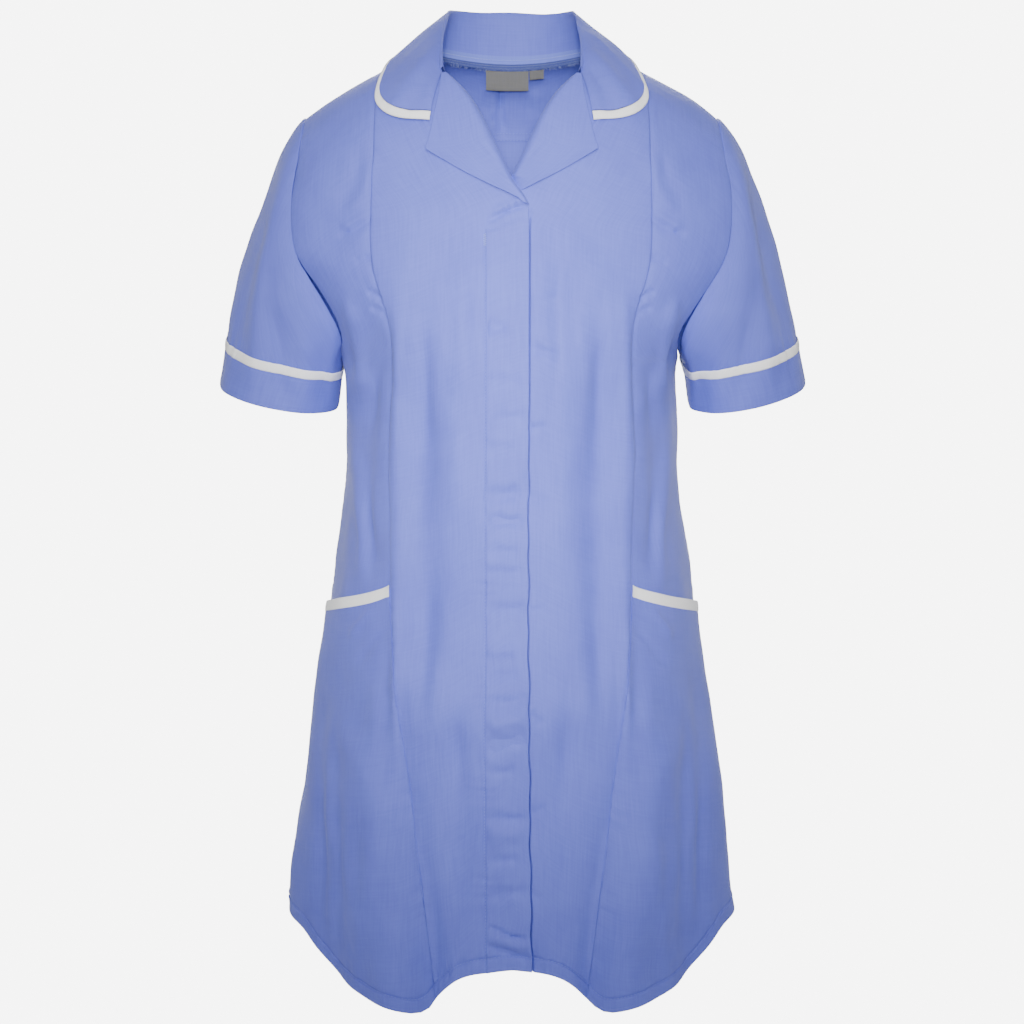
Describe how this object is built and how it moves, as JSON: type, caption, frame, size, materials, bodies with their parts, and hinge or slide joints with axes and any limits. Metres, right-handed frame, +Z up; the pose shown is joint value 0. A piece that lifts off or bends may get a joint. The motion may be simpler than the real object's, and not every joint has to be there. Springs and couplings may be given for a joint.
{
  "type": "maternity tunic",
  "caption": "Short-sleeved maternity tunic, hollow as worn, with a bound turn-down collar, lapels, hidden front fastening, princess seams, hip pockets and a flared, curved hem.",
  "frame": {"origin": "midway between the two high shoulder points, where the neck seam meets the shoulder line", "axes": "+X towards the wearer's left, -Y out of the front, +Z up"},
  "size_m": [0.5054, 0.2822, 0.8316],
  "materials": {
    "tunic_cloth": "soft woven polyester and cotton, mid blue, faint sheen",
    "white_binding": "white bias binding, matte",
    "neck_tape": "blue cotton tape, matte",
    "label_grey": "grey woven label, left bare"
  },
  "bodies": {
    "root": {"back": "tunic_cloth", "back_yoke": "tunic_cloth", "collar": "tunic_cloth", "collar_binding": "white_binding", "cuff_binding_left": "white_binding", "cuff_binding_right": "white_binding", "cuff_left": "tunic_cloth", "cuff_right": "tunic_cloth", "front_left": "tunic_cloth", "front_right": "tunic_cloth", "lapel_left": "tunic_cloth", "lapel_right": "tunic_cloth", "neck_label": "label_grey", "neck_tape": "neck_tape", "pocket_binding_left": "white_binding", "pocket_binding_right": "white_binding", "pocket_left": "tunic_cloth", "pocket_right": "tunic_cloth", "side_front_left": "tunic_cloth", "side_front_right": "tunic_cloth", "size_label": "label_grey", "sleeve_left": "tunic_cloth", "sleeve_right": "tunic_cloth"}
  },
  "joints": []
}
